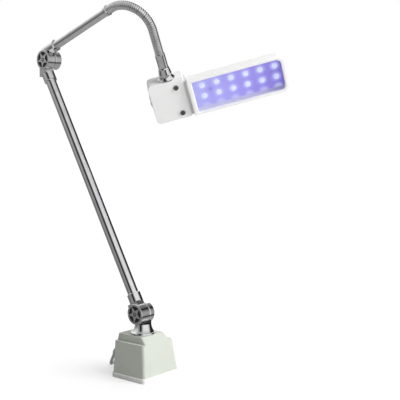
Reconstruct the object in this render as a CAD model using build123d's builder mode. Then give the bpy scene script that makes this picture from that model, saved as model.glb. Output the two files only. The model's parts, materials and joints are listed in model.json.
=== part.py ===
"""Articulated uv curing lamp: transformer base, two chromed arms on disc elbows, a gooseneck and
a long LED head with its own switch box.

Frame: +Z up, the origin at the bottom centre of the base plate, +Y towards the back of the base
(where the mains cord leaves), -Y towards its front, +X to the right. Millimetres.
"""

import os
from math import cos, pi, radians, sin, tan

from build123d import *

os.makedirs("parts", exist_ok=True)

# ---------------------------------------------------------------- driving dimensions
# base
PLATE_X = 82.0
PLATE_Y = 74.5
PLATE_H = 7.5
HOUSING_X = 79.0
HOUSING_Y = 71.8
HOUSING_H = 50.5
SIDE_TAPER = 5.9
FRONT_TAPER = 6.3
RISER_H = 10.4
RISER_LEDGE = 5.6
RISER_SIDE_SLOPE = 3.4
RISER_FRONT_SLOPE = 11.4
WALL = 2.5
BOSS_H = 24.0
SCREW_X = 30.5
SCREW_Y = 27.5

# elbows and arms; both arms swing in the plane x = ARM_X
ARM_X = -7.3
FOOT_X = -3.0
ELBOW_Z = 102.5
ELBOW_HALF_LENGTH = 14.4
DRUM_R = 16.5
DRUM_GAP = 0.4
SPLIT_CHAMFER = 1.4
LOWER_SPLIT = 4.3
UPPER_SPLIT = 1.5
BOLT_R = 4.0
RUNNING_FIT = 0.06

LOWER_LEAN = 28.75
LOWER_ARM_LENGTH = 466.0
LOWER_TUBE_R = 9.0
LOWER_OFFSET = 14.8
UPPER_LEAN = 71.0
UPPER_ARM_LENGTH = 165.6
UPPER_TUBE_R = 7.5
UPPER_OFFSET = 16.0
TUBE_WALL = 1.2
SOCKET_WALL = 2.2

# gooseneck
NECK_R = 7.5
NECK_ROLL = 34.4
NECK_BEND = 115.0
NECK_BEND_RADIUS = 45.0
NECK_JOINTS = 7
NECK_LEAD = 8.0
NECK_TAIL = 45.0
RIB_PITCH = 3.4
RIB_WIDTH = 2.2
FERRULE_LENGTH = 21.5
BELL_LENGTH = 21.5

# head, in its own frame: x along the head, -y out of the lit face, z up along the neck
HEAD_TURN = 59.0
BOX_X0 = -34.8
BOX_X1 = 25.7
BOX_H = 72.6
BOX_Y0 = -12.5
BOX_Y1 = 20.0
COVER_T = 2.5
LAMP_X0 = 29.3
LAMP_LENGTH = 166.0
LAMP_TOP = -5.8
LAMP_H = 64.9
LAMP_FACE = -20.0
LAMP_BACK = 14.0
LAMP_SIDE_DEPTH = 20.0
FRAME_T = 4.4
FRAME_SIDE = 7.9
FRAME_EDGE = 4.8
HEAD_WALL = 2.2
BOARD_Y = -0.5
BOARD_T = 1.6
LED_COLUMNS = 6
LED_ROWS = 2
LED_PITCH_X = 24.9
LED_PITCH_Z = 19.8

# mains cord
CORD_D = 5.0
COIL_CENTRE = (73.0, 78.0)
COIL_R = 29.0
COIL_HALF_WIDTH = 11.5
COIL_ENTRY_ANGLE = 120.0

PLATE_TOP = PLATE_H
HOUSING_TOP = PLATE_H + HOUSING_H
RISER_TOP = HOUSING_TOP + RISER_H


# ---------------------------------------------------------------- shared shapes
def rectangle_between(x0, x1, y0, y1, radius, mode=Mode.ADD):
    """A rounded rectangle given by its edges, inside the active sketch."""
    with Locations(((x0 + x1) / 2, (y0 + y1) / 2)):
        RectangleRounded(x1 - x0, y1 - y0, radius, mode=mode)


def tapered_block(z0, z1, half0, half1, front0, front1, back, radius, mode=Mode.ADD):
    """A block with an upright back whose sides and front lean inwards towards its top."""
    with BuildSketch(Plane.XY.offset(z0)) as lower_outline:
        rectangle_between(-half0, half0, front0, back, radius)
    with BuildSketch(Plane.XY.offset(z1)) as upper_outline:
        rectangle_between(-half1, half1, front1, back, radius)
    loft([lower_outline.sketch, upper_outline.sketch], mode=mode)


def along_x(plane, x):
    """The plane across the elbow axis at a distance x from the arm's own plane.

    Its local x is the arm's side direction (y of the arm plane) and its local y the arm's length."""
    return Plane(
        origin=plane.from_local_coords((x, 0, 0)),
        x_dir=plane.y_dir,
        z_dir=plane.x_dir,
    )


def rod(plane, z0, z1, radius, mode=Mode.ADD):
    """A round bar along a plane's normal, from z0 to z1 along it."""
    with BuildSketch(plane.offset(z0)) as section:
        Circle(radius)
    extrude(section.sketch, amount=z1 - z0, mode=mode)


def drum(plane, x0, x1, radius, mode=Mode.ADD):
    """A disc-shaped slice of an elbow, between two distances along the elbow axis."""
    with BuildSketch(along_x(plane, x0)) as section:
        Circle(radius)
    extrude(section.sketch, amount=x1 - x0, mode=mode)


def elbow_disc(plane, x0, x1, open_side):
    """An elbow half's disc: its open end is rounded and its end at the split has a bright chamfer.

    open_side is -1 or +1 for the end that takes the cover."""
    with BuildPart() as disc:
        drum(plane, x0, x1, DRUM_R)
        open_end = disc.faces().filter_by(Axis.X).sort_by(Axis.X)[0 if open_side < 0 else -1]
        fillet(open_end.edges(), 0.8)
        split_end = disc.faces().filter_by(Axis.X).sort_by(Axis.X)[-1 if open_side < 0 else 0]
        chamfer(split_end.edges(), SPLIT_CHAMFER)
    return disc.part


def turned(plane, about_x, about_z):
    """The plane turned about its own x or z axis, in degrees."""
    return Plane(plane.location * Rotation(about_x, 0, about_z))


# ---------------------------------------------------------------- planes of the moving pieces
foot_plane = Plane(origin=(FOOT_X, 0, 0))
elbow_upright = Plane(origin=(ARM_X, 0, ELBOW_Z))
lower_arm = Plane(
    origin=(ARM_X, 0, ELBOW_Z),
    x_dir=(1, 0, 0),
    z_dir=(0, sin(radians(LOWER_LEAN)), cos(radians(LOWER_LEAN))),
)
upper_pivot = lower_arm.from_local_coords((0, -LOWER_OFFSET, LOWER_ARM_LENGTH))
lower_arm_top = Plane(origin=upper_pivot, x_dir=(1, 0, 0), z_dir=lower_arm.z_dir)
upper_arm = Plane(
    origin=upper_pivot,
    x_dir=(1, 0, 0),
    z_dir=(0, -sin(radians(UPPER_LEAN)), cos(radians(UPPER_LEAN))),
)
upper_tube_axis = Plane(
    origin=upper_arm.from_local_coords((0, UPPER_OFFSET, 0)),
    x_dir=(1, 0, 0),
    z_dir=upper_arm.z_dir,
)
lower_tube_top_axis = Plane(
    origin=lower_arm_top.from_local_coords((0, LOWER_OFFSET, 0)),
    x_dir=(1, 0, 0),
    z_dir=lower_arm.z_dir,
)

# the gooseneck is a chain of straight links; each joint turns it by the same angle
NECK_STEP = NECK_BEND / NECK_JOINTS
NECK_HALF_LINK = NECK_BEND_RADIUS * tan(radians(NECK_STEP / 2))
neck_start = turned(upper_tube_axis.offset(UPPER_ARM_LENGTH), 0, NECK_ROLL)
link_planes = [neck_start]
link_lengths = [NECK_LEAD + NECK_HALF_LINK]
for joint in range(NECK_JOINTS):
    link_planes.append(turned(link_planes[-1].offset(link_lengths[-1]), NECK_STEP, 0))
    link_lengths.append(2 * NECK_HALF_LINK)
link_lengths[-1] = NECK_HALF_LINK + NECK_TAIL
ferrule_plane = link_planes[-1].offset(link_lengths[-1])
head_seat = ferrule_plane.offset(FERRULE_LENGTH + BELL_LENGTH)
head_turned = turned(head_seat, 0, HEAD_TURN)
head = Plane(origin=head_seat.origin, x_dir=head_turned.x_dir, z_dir=-head_seat.z_dir)


# ---------------------------------------------------------------- base plate and housing
STRAP_SCREW_X = 33.2

with BuildPart() as base_plate:
    with BuildSketch():
        RectangleRounded(PLATE_X, PLATE_Y, 5)
    extrude(amount=PLATE_H)
    chamfer(base_plate.faces().sort_by(Axis.Z)[-1].edges(), 0.9)
    with Locations(base_plate.faces().sort_by(Axis.Z)[0]):
        with GridLocations(2 * SCREW_X, 2 * SCREW_Y, 2, 2):
            CounterSinkHole(radius=1.8, counter_sink_radius=3.4, counter_sink_angle=90)
    with Locations((-STRAP_SCREW_X, 0, PLATE_TOP), (STRAP_SCREW_X, 0, PLATE_TOP)):
        Hole(radius=1.65, depth=5)
base_plate.part.label = "base_plate"
export_step(base_plate.part, "parts/base_plate.step")

STEM_R = 5.0
GLAND_X = -13.0
GLAND_Z = 40.0
GLAND_SHANK_R = 4.6
FRONT_Y = -HOUSING_Y / 2
BACK_Y = HOUSING_Y / 2
half_bottom = HOUSING_X / 2
half_top = half_bottom - SIDE_TAPER
riser_half = half_top - RISER_LEDGE
riser_front = FRONT_Y + FRONT_TAPER + 0.4
back_wall_inside = Plane(origin=(GLAND_X, BACK_Y - WALL, GLAND_Z), x_dir=(1, 0, 0), z_dir=(0, 1, 0))

with BuildPart() as base_housing:
    tapered_block(
        PLATE_TOP, HOUSING_TOP, half_bottom, half_top, FRONT_Y, FRONT_Y + FRONT_TAPER, BACK_Y, 4.5
    )
    tapered_block(
        HOUSING_TOP,
        RISER_TOP,
        riser_half,
        riser_half - RISER_SIDE_SLOPE,
        riser_front,
        riser_front + RISER_FRONT_SLOPE,
        BACK_Y - 0.6,
        3,
    )
    fillet(base_housing.faces().sort_by(Axis.Z)[-1].edges(), 0.8)
    tapered_block(
        PLATE_TOP,
        HOUSING_TOP - WALL,
        half_bottom - WALL,
        half_top - WALL,
        FRONT_Y + WALL,
        FRONT_Y + FRONT_TAPER + WALL,
        BACK_Y - WALL,
        2.5,
        mode=Mode.SUBTRACT,
    )
    tapered_block(
        HOUSING_TOP - WALL - 0.1,
        RISER_TOP - WALL,
        riser_half - WALL,
        riser_half - WALL - RISER_SIDE_SLOPE,
        riser_front + WALL,
        riser_front + WALL + RISER_FRONT_SLOPE,
        BACK_Y - 0.6 - WALL,
        2,
        mode=Mode.SUBTRACT,
    )
    with BuildSketch(Plane.XY.offset(PLATE_TOP)):
        with GridLocations(2 * SCREW_X, 2 * SCREW_Y, 2, 2):
            Circle(3.4)
        with GridLocations(2 * (SCREW_X + 2.5), 2 * SCREW_Y, 2, 2):
            Rectangle(5, 2)
    extrude(amount=BOSS_H)
    with BuildSketch(Plane.XY.offset(PLATE_TOP)):
        with GridLocations(2 * SCREW_X, 2 * SCREW_Y, 2, 2):
            Circle(1.45)
    extrude(amount=20, mode=Mode.SUBTRACT)
    rod(foot_plane, RISER_TOP - 2 * WALL, RISER_TOP, STEM_R + RUNNING_FIT, mode=Mode.SUBTRACT)
    rod(back_wall_inside, 0, WALL, GLAND_SHANK_R + 0.1, mode=Mode.SUBTRACT)
base_housing.part.label = "base_housing"
export_step(base_housing.part, "parts/base_housing.step")

with BuildPart() as housing_screws:
    with BuildSketch(Plane.XY.offset(0.4)):
        with GridLocations(2 * SCREW_X, 2 * SCREW_Y, 2, 2):
            Circle(2.9)
    extrude(amount=1.5, taper=45)
    with BuildSketch(Plane.XY.offset(1.4)):
        with GridLocations(2 * SCREW_X, 2 * SCREW_Y, 2, 2):
            Circle(1.45)
    extrude(amount=20)
housing_screws.part.label = "housing_screws"
export_step(housing_screws.part, "parts/housing_screws.step")

# ---------------------------------------------------------------- transformer and driver board
CORE_X = 57.0
CORE_STACK = 27.0
CORE_H = 46.5
LEG_X = 9.5
WINDOW_H = 28.5
STRAP_T = 1.0
core_z = PLATE_TOP + CORE_H / 2
core_front = Plane.XZ.offset(CORE_STACK / 2).shift_origin((0, -CORE_STACK / 2, core_z))
window_x = (CORE_X - 4 * LEG_X) / 2

with BuildPart() as transformer_core:
    with BuildSketch(core_front):
        Rectangle(CORE_X, CORE_H)
        with GridLocations(2 * LEG_X + window_x, 0, 2, 1):
            Rectangle(window_x, WINDOW_H, mode=Mode.SUBTRACT)
    extrude(amount=-CORE_STACK)
transformer_core.part.label = "transformer_core"
export_step(transformer_core.part, "parts/transformer_core.step")

with BuildPart() as transformer_bobbin:
    with BuildSketch(Plane.XY.offset(core_z - WINDOW_H / 2 + 0.1)):
        Rectangle(2 * LEG_X + 2.4, CORE_STACK + 2.4)
        Rectangle(2 * LEG_X + 0.2, CORE_STACK + 0.2, mode=Mode.SUBTRACT)
    extrude(amount=WINDOW_H - 0.2)
    for flange_z in (core_z - WINDOW_H / 2 + 0.1, core_z + WINDOW_H / 2 - 1.1):
        with BuildSketch(Plane.XY.offset(flange_z)):
            Rectangle(2 * LEG_X + 2 * window_x - 0.4, CORE_STACK + 15)
            Rectangle(2 * LEG_X + 0.2, CORE_STACK + 0.2, mode=Mode.SUBTRACT)
        extrude(amount=1)
transformer_bobbin.part.label = "transformer_bobbin"
export_step(transformer_bobbin.part, "parts/transformer_bobbin.step")

with BuildPart() as transformer_winding:
    with BuildSketch(Plane.XY.offset(core_z - WINDOW_H / 2 + 1.3)):
        RectangleRounded(2 * LEG_X + 2 * window_x - 1.2, CORE_STACK + 13.6, 4)
        Rectangle(2 * LEG_X + 2.6, CORE_STACK + 2.6, mode=Mode.SUBTRACT)
    extrude(amount=WINDOW_H - 2.6)
transformer_winding.part.label = "transformer_winding"
export_step(transformer_winding.part, "parts/transformer_winding.step")

STRAP_Y = 20.0
strap_side = CORE_X / 2 + 0.1
strap_top = PLATE_TOP + CORE_H + 0.1
with BuildPart() as transformer_strap:
    with BuildSketch(Plane.XZ.offset(-STRAP_Y / 2)):
        with BuildLine():
            Polyline(
                (-strap_side - 8, PLATE_TOP),
                (-strap_side, PLATE_TOP),
                (-strap_side, strap_top),
                (strap_side, strap_top),
                (strap_side, PLATE_TOP),
                (strap_side + 8, PLATE_TOP),
                (strap_side + 8, PLATE_TOP + STRAP_T),
                (strap_side + STRAP_T, PLATE_TOP + STRAP_T),
                (strap_side + STRAP_T, strap_top + STRAP_T),
                (-strap_side - STRAP_T, strap_top + STRAP_T),
                (-strap_side - STRAP_T, PLATE_TOP + STRAP_T),
                (-strap_side - 8, PLATE_TOP + STRAP_T),
                close=True,
            )
        make_face()
    extrude(amount=STRAP_Y)
    with Locations((-STRAP_SCREW_X, 0, PLATE_TOP + STRAP_T), (STRAP_SCREW_X, 0, PLATE_TOP + STRAP_T)):
        Hole(radius=1.8, depth=STRAP_T)
transformer_strap.part.label = "transformer_strap"
export_step(transformer_strap.part, "parts/transformer_strap.step")

with BuildPart() as strap_screws:
    with BuildSketch(Plane.XY.offset(PLATE_TOP + STRAP_T)):
        with Locations((-STRAP_SCREW_X, 0), (STRAP_SCREW_X, 0)):
            Circle(2.7)
    extrude(amount=2)
    with BuildSketch(Plane.XY.offset(PLATE_TOP - 4.5)):
        with Locations((-STRAP_SCREW_X, 0), (STRAP_SCREW_X, 0)):
            Circle(1.65)
    extrude(amount=4.5 + STRAP_T)
strap_screws.part.label = "strap_screws"
export_step(strap_screws.part, "parts/strap_screws.step")

BOARD_Z = HOUSING_TOP + 1.5
with BuildPart() as driver_board:
    with BuildSketch(Plane.XY.offset(BOARD_Z)):
        with Locations((0, 24)):
            Rectangle(36, 12)
    extrude(amount=1.6)
    with BuildSketch(Plane.XY.offset(BOARD_Z - 8)):
        with Locations((-11, 25), (0, 25)):
            Circle(4)
    extrude(amount=8)
    with BuildSketch(Plane.XY.offset(BOARD_Z - 5)):
        with Locations((12, 25)):
            Rectangle(9, 7)
    extrude(amount=5)
driver_board.part.label = "driver_board"
export_step(driver_board.part, "parts/driver_board.step")

# ---------------------------------------------------------------- swivel foot and its stem
DISC_R = 19.5
NECK_TOP_R = 13.5
FOOT_NECK_TOP = ELBOW_Z - DRUM_R - 0.6

with BuildPart() as swivel_foot:
    with BuildSketch(Plane(origin=(FOOT_X, 0, RISER_TOP + 0.3), x_dir=(1, 0, 0), z_dir=(0, -1, 0))):
        with BuildLine():
            foot_bottom = Line((0, 0), (DISC_R - 0.6, 0))
            Line(foot_bottom @ 1, (DISC_R, 0.8))
            foot_rim = Line((DISC_R, 0.8), (DISC_R, 3.0))
            rim_step = Line(foot_rim @ 1, (DISC_R - 1.3, 3.6))
            foot_side = ThreePointArc(
                rim_step @ 1,
                (DISC_R - 4.6, 9.0),
                (NECK_TOP_R, FOOT_NECK_TOP - RISER_TOP - 0.3),
            )
            Line(foot_side @ 1, (0, FOOT_NECK_TOP - RISER_TOP - 0.3))
            Line((0, FOOT_NECK_TOP - RISER_TOP - 0.3), foot_bottom @ 0)
        make_face()
    revolve(axis=Axis((FOOT_X, 0, 0), (0, 0, 1)))
    with BuildSketch(Plane.XY.offset(FOOT_NECK_TOP - 1)):
        with Locations((FOOT_X, 0)):
            Circle(NECK_TOP_R)
        with Locations((ARM_X + LOWER_SPLIT + DRUM_GAP - 20, 0)):
            Rectangle(40, 40, mode=Mode.SUBTRACT)
        with Locations((ARM_X + ELBOW_HALF_LENGTH - 1.2 + 10, 0)):
            Rectangle(20, 40, mode=Mode.SUBTRACT)
    extrude(amount=ELBOW_Z - FOOT_NECK_TOP + 1)
    add(elbow_disc(elbow_upright, LOWER_SPLIT + DRUM_GAP, ELBOW_HALF_LENGTH, 1))
    drum(elbow_upright, ELBOW_HALF_LENGTH - 3, ELBOW_HALF_LENGTH, DRUM_R - 2, mode=Mode.SUBTRACT)
    drum(elbow_upright, ELBOW_HALF_LENGTH - 6.5, ELBOW_HALF_LENGTH, 7.6, mode=Mode.SUBTRACT)
    drum(elbow_upright, LOWER_SPLIT, ELBOW_HALF_LENGTH, BOLT_R + RUNNING_FIT, mode=Mode.SUBTRACT)
    rod(foot_plane, RISER_TOP, RISER_TOP + 10, STEM_R, mode=Mode.SUBTRACT)
swivel_foot.part.label = "swivel_foot"
export_step(swivel_foot.part, "parts/swivel_foot.step")

FLANGE_T = 1.2
NUT_Z = RISER_TOP - WALL - 0.3 - FLANGE_T
with BuildPart() as foot_stem:
    rod(foot_plane, NUT_Z - 7, RISER_TOP + 10, STEM_R)
    rod(foot_plane, NUT_Z - 7, RISER_TOP + 10, STEM_R - 1.6, mode=Mode.SUBTRACT)
foot_stem.part.label = "foot_stem"
export_step(foot_stem.part, "parts/foot_stem.step")

with BuildPart() as foot_nut:
    with BuildSketch(foot_plane.offset(NUT_Z - 5)):
        RegularPolygon(8.5, 6, major_radius=False)
    extrude(amount=5)
    rod(foot_plane, NUT_Z, NUT_Z + FLANGE_T, 9.5)
    rod(foot_plane, NUT_Z - 5, NUT_Z + FLANGE_T, STEM_R, mode=Mode.SUBTRACT)
foot_nut.part.label = "foot_nut"
export_step(foot_nut.part, "parts/foot_nut.step")


# ---------------------------------------------------------------- elbow pieces
CAP_R = DRUM_R - 2.1
CAP_T = 2.6
STAR_DEPTH = 1.5


def star_cap(plane, x_outside, outward):
    """A cover disc with five sunken pockets between the arms of a star, and a ring around its middle.

    outward is +1 where the cap faces +X, -1 where it faces -X."""
    outer_face = along_x(plane, x_outside)
    points = [
        (radius * sin(radians(36 * k)), radius * cos(radians(36 * k)))
        for k, radius in enumerate([CAP_R, 5.6] * 5)
    ]
    with BuildPart() as cap:
        with BuildSketch(outer_face):
            Circle(CAP_R)
        extrude(amount=-outward * CAP_T)
        with BuildSketch(outer_face):
            Circle(CAP_R - 1.3)
            with BuildLine():
                Polyline(*points, close=True)
            make_face(mode=Mode.SUBTRACT)
        extrude(amount=-outward * STAR_DEPTH, mode=Mode.SUBTRACT)
        with BuildSketch(outer_face):
            Circle(3.4)
            Circle(1.5, mode=Mode.SUBTRACT)
        extrude(amount=-outward * 1.1, mode=Mode.SUBTRACT)
    return cap


def elbow_bolt(plane, x0, x1):
    """The pivot bolt: a round head in the left half and a shank to the nut in the right half."""
    with BuildPart() as bolt:
        drum(plane, x0, x0 + 3.2, 6.8)
        drum(plane, x0 + 3.2, x1, BOLT_R)
    return bolt


def elbow_nut(plane, x0):
    """A hexagon nut on the pivot bolt, with the spring washer under it."""
    with BuildPart() as nut:
        with BuildSketch(along_x(plane, x0 + 0.9)):
            RegularPolygon(6.4, 6, major_radius=False)
            Circle(BOLT_R, mode=Mode.SUBTRACT)
        extrude(amount=2.4)
        with BuildSketch(along_x(plane, x0)):
            Circle(6.8)
            Circle(BOLT_R, mode=Mode.SUBTRACT)
        extrude(amount=0.9)
    return nut


def knuckle(plane, split0, split1, open_side, offset, socket_from, socket_to, tube_r, direction):
    """One cast half of an elbow: its disc, the web and the socket for the tube.

    split0 and split1 bound the disc along the elbow axis, open_side is -1 or +1 for the end that
    takes the cover, and direction is +1 or -1 along the arm from the pivot to the socket."""
    socket_r = tube_r + SOCKET_WALL
    tube_axis = Plane(
        origin=plane.from_local_coords((0, offset, 0)), x_dir=plane.x_dir, z_dir=plane.z_dir
    )
    web_r = socket_r - 0.2
    web0 = max(split0, -web_r)
    web1 = min(split1, web_r)
    start = direction * socket_from
    end = direction * socket_to
    foot = start + direction * 1.5
    cover_end = split0 if open_side < 0 else split1
    with BuildPart() as half:
        with BuildSketch(along_x(plane, web0)) as web:
            with BuildLine():
                Polyline(
                    (offset - web_r, foot),
                    (offset + web_r, foot),
                    (min(offset + web_r, DRUM_R - 0.3), direction * 2.5),
                    (0, 0),
                    (min(offset - web_r, -1.0), 0),
                    close=True,
                )
            make_face()
        extrude(web.sketch, amount=web1 - web0)
        rod(tube_axis, start, end, socket_r)
        chamfer(half.faces().sort_by(Axis(plane.origin, plane.z_dir * direction))[-1].edges(), 0.7)
        add(elbow_disc(plane, split0, split1, open_side))
        drum(plane, cover_end, cover_end - open_side * 3.0, DRUM_R - 2, mode=Mode.SUBTRACT)
        drum(plane, cover_end, cover_end - open_side * 6.5, 7.6, mode=Mode.SUBTRACT)
        drum(plane, split0, split1, BOLT_R + RUNNING_FIT, mode=Mode.SUBTRACT)
    return half


# ---------------------------------------------------------------- lower arm
SOCKET_FROM = 17.4
SOCKET_TO = 34.0
LOWER_TUBE_END = LOWER_ARM_LENGTH - SOCKET_FROM
SET_SCREW_R = 1.9


def set_screw(tube_axis, z, tube_r):
    """A small set screw through a socket wall onto the tube, on the side away from the pivot."""
    side = Plane(
        origin=tube_axis.from_local_coords((0, tube_r, z)),
        x_dir=tube_axis.x_dir,
        z_dir=tube_axis.y_dir,
    )
    with BuildPart() as screw:
        rod(side, 0, SOCKET_WALL + 1.2, SET_SCREW_R)
    return screw.part


def screw_hole(tube_axis, z, tube_r):
    """The tapped hole for a set screw, cut from the active part."""
    side = Plane(
        origin=tube_axis.from_local_coords((0, tube_r, z)),
        x_dir=tube_axis.x_dir,
        z_dir=tube_axis.y_dir,
    )
    rod(side, -0.5, SOCKET_WALL + 1, SET_SCREW_R, mode=Mode.SUBTRACT)


with BuildPart() as lower_arm_knuckle:
    add(
        knuckle(
            lower_arm, -ELBOW_HALF_LENGTH, LOWER_SPLIT, -1, 0, SOCKET_FROM, SOCKET_TO, LOWER_TUBE_R, 1
        ).part
    )
    rod(lower_arm, SOCKET_FROM + 1, SOCKET_TO, LOWER_TUBE_R, mode=Mode.SUBTRACT)
    screw_hole(lower_arm, SOCKET_TO - 4, LOWER_TUBE_R)
lower_arm_knuckle.part.label = "lower_arm_knuckle"
export_step(lower_arm_knuckle.part, "parts/lower_arm_knuckle.step")

with BuildPart() as lower_arm_tube:
    rod(lower_arm, SOCKET_FROM + 1, LOWER_TUBE_END, LOWER_TUBE_R)
    rod(lower_arm, SOCKET_FROM + 1, LOWER_TUBE_END, LOWER_TUBE_R - TUBE_WALL, mode=Mode.SUBTRACT)
lower_arm_tube.part.label = "lower_arm_tube"
export_step(lower_arm_tube.part, "parts/lower_arm_tube.step")

with BuildPart() as upper_elbow_knuckle:
    add(
        knuckle(
            lower_arm_top,
            -ELBOW_HALF_LENGTH,
            UPPER_SPLIT,
            -1,
            LOWER_OFFSET,
            SOCKET_FROM,
            SOCKET_TO,
            LOWER_TUBE_R,
            -1,
        ).part
    )
    rod(lower_tube_top_axis, -SOCKET_TO, -SOCKET_FROM, LOWER_TUBE_R, mode=Mode.SUBTRACT)
    screw_hole(lower_tube_top_axis, -SOCKET_TO + 4, LOWER_TUBE_R)
upper_elbow_knuckle.part.label = "upper_elbow_knuckle"
export_step(upper_elbow_knuckle.part, "parts/upper_elbow_knuckle.step")

with BuildPart() as lower_arm_set_screws:
    add(set_screw(lower_arm, SOCKET_TO - 4, LOWER_TUBE_R))
    add(set_screw(lower_tube_top_axis, -SOCKET_TO + 4, LOWER_TUBE_R))
lower_arm_set_screws.part.label = "lower_arm_set_screws"
export_step(lower_arm_set_screws.part, "parts/lower_arm_set_screws.step")

COVER_INSET = 0.3
LEFT_COVER = -ELBOW_HALF_LENGTH + COVER_INSET
RIGHT_COVER = ELBOW_HALF_LENGTH - COVER_INSET
BOLT_SEAT = ELBOW_HALF_LENGTH - 6.5

lower_elbow_star_cap = star_cap(lower_arm, LEFT_COVER, -1)
lower_elbow_star_cap.part.label = "lower_elbow_star_cap"
export_step(lower_elbow_star_cap.part, "parts/lower_elbow_star_cap.step")

lower_elbow_back_cap = star_cap(elbow_upright, RIGHT_COVER, 1)
lower_elbow_back_cap.part.label = "lower_elbow_back_cap"
export_step(lower_elbow_back_cap.part, "parts/lower_elbow_back_cap.step")

lower_elbow_bolt = elbow_bolt(elbow_upright, -BOLT_SEAT - 3.25, RIGHT_COVER - CAP_T - 0.1)
lower_elbow_bolt.part.label = "lower_elbow_bolt"
export_step(lower_elbow_bolt.part, "parts/lower_elbow_bolt.step")

lower_elbow_nut = elbow_nut(elbow_upright, BOLT_SEAT)
lower_elbow_nut.part.label = "lower_elbow_nut"
export_step(lower_elbow_nut.part, "parts/lower_elbow_nut.step")

# ---------------------------------------------------------------- upper elbow and arm
UPPER_SOCKET_FROM = -3.0
UPPER_SOCKET_TO = 27.0
UPPER_TUBE_FROM = 15.5
upper_right = UPPER_SPLIT + DRUM_GAP

with BuildPart() as upper_arm_knuckle:
    add(
        knuckle(
            upper_arm,
            upper_right,
            ELBOW_HALF_LENGTH,
            1,
            UPPER_OFFSET,
            UPPER_SOCKET_FROM,
            UPPER_SOCKET_TO,
            UPPER_TUBE_R,
            1,
        ).part
    )
    drum(upper_arm, -ELBOW_HALF_LENGTH, upper_right, DRUM_R + 0.5, mode=Mode.SUBTRACT)
    rod(upper_tube_axis, UPPER_TUBE_FROM, UPPER_SOCKET_TO, UPPER_TUBE_R, mode=Mode.SUBTRACT)
    screw_hole(upper_tube_axis, UPPER_SOCKET_TO - 3.5, UPPER_TUBE_R)
upper_arm_knuckle.part.label = "upper_arm_knuckle"
export_step(upper_arm_knuckle.part, "parts/upper_arm_knuckle.step")

with BuildPart() as upper_arm_tube:
    rod(upper_tube_axis, UPPER_TUBE_FROM, UPPER_ARM_LENGTH, UPPER_TUBE_R)
    rod(upper_tube_axis, UPPER_TUBE_FROM, UPPER_ARM_LENGTH, UPPER_TUBE_R - TUBE_WALL, mode=Mode.SUBTRACT)
upper_arm_tube.part.label = "upper_arm_tube"
export_step(upper_arm_tube.part, "parts/upper_arm_tube.step")

with BuildPart() as upper_arm_set_screw:
    add(set_screw(upper_tube_axis, UPPER_SOCKET_TO - 3.5, UPPER_TUBE_R))
upper_arm_set_screw.part.label = "upper_arm_set_screw"
export_step(upper_arm_set_screw.part, "parts/upper_arm_set_screw.step")

upper_elbow_star_cap = star_cap(lower_arm_top, LEFT_COVER, -1)
upper_elbow_star_cap.part.label = "upper_elbow_star_cap"
export_step(upper_elbow_star_cap.part, "parts/upper_elbow_star_cap.step")

upper_elbow_back_cap = star_cap(upper_arm, RIGHT_COVER, 1)
upper_elbow_back_cap.part.label = "upper_elbow_back_cap"
export_step(upper_elbow_back_cap.part, "parts/upper_elbow_back_cap.step")

upper_elbow_bolt = elbow_bolt(upper_arm, -BOLT_SEAT - 3.25, RIGHT_COVER - CAP_T - 0.1)
upper_elbow_bolt.part.label = "upper_elbow_bolt"
export_step(upper_elbow_bolt.part, "parts/upper_elbow_bolt.step")

upper_elbow_nut = elbow_nut(upper_arm, BOLT_SEAT)
upper_elbow_nut.part.label = "upper_elbow_nut"
export_step(upper_elbow_nut.part, "parts/upper_elbow_nut.step")

# ---------------------------------------------------------------- gooseneck
COLLAR_L = 6.0
BALL_R = 4.4
CUP_R = 4.7
CORE_R = 6.2
BORE_R = 2.4
END_GAP = 1.55

with BuildPart() as neck_base_collar:
    rod(neck_start, -COLLAR_L + 1, 1, NECK_R + 1.2)
    chamfer(neck_base_collar.edges().filter_by(GeomType.CIRCLE), 0.5)
    rod(neck_start, -COLLAR_L + 1, 0, UPPER_TUBE_R, mode=Mode.SUBTRACT)
    rod(neck_start, 0, 1, NECK_R - 1.2, mode=Mode.SUBTRACT)
neck_base_collar.part.label = "neck_base_collar"
export_step(neck_base_collar.part, "parts/neck_base_collar.step")


def neck_link(plane, length, first, last):
    """One link of the gooseneck: ribs on a hollow core, a cup at its start and a ball at its end.

    The first link starts flat in the collar of the arm; the last one ends flat in the ferrule."""
    z0 = 0 if first else END_GAP
    z1 = length if last else length - END_GAP
    rib_count = int((z1 - z0 - RIB_WIDTH) // RIB_PITCH) + 1
    rib_lead = (z1 - z0 - (rib_count - 1) * RIB_PITCH - RIB_WIDTH) / 2
    with BuildPart() as link:
        rod(plane, z0, z1, CORE_R)
        for rib in range(rib_count):
            rib_z = z0 + rib_lead + rib * RIB_PITCH
            if first and rib == 0:
                rib_z = max(rib_z, 1.2)
            rod(plane, rib_z, rib_z + RIB_WIDTH, NECK_R)
        if not last:
            with Locations(plane.offset(length).location):
                Sphere(BALL_R)
        if not first:
            with Locations(plane.location):
                Sphere(CUP_R, mode=Mode.SUBTRACT)
        rod(plane, -1, length + BALL_R, BORE_R, mode=Mode.SUBTRACT)
    return link


for number, (plane, length) in enumerate(zip(link_planes, link_lengths), start=1):
    link = neck_link(plane, length, number == 1, number == len(link_planes))
    link.part.label = f"neck_link_{number}"
    export_step(link.part, f"parts/neck_link_{number}.step")

FERRULE_R = 8.4
with BuildPart() as neck_ferrule:
    rod(ferrule_plane, -3, FERRULE_LENGTH - 0.4, FERRULE_R)
    chamfer(neck_ferrule.edges().filter_by(GeomType.CIRCLE), 0.5)
    rod(ferrule_plane, -3, 0, NECK_R, mode=Mode.SUBTRACT)
    rod(ferrule_plane, 0, FERRULE_LENGTH - 0.4, 4.0, mode=Mode.SUBTRACT)
neck_ferrule.part.label = "neck_ferrule"
export_step(neck_ferrule.part, "parts/neck_ferrule.step")

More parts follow.
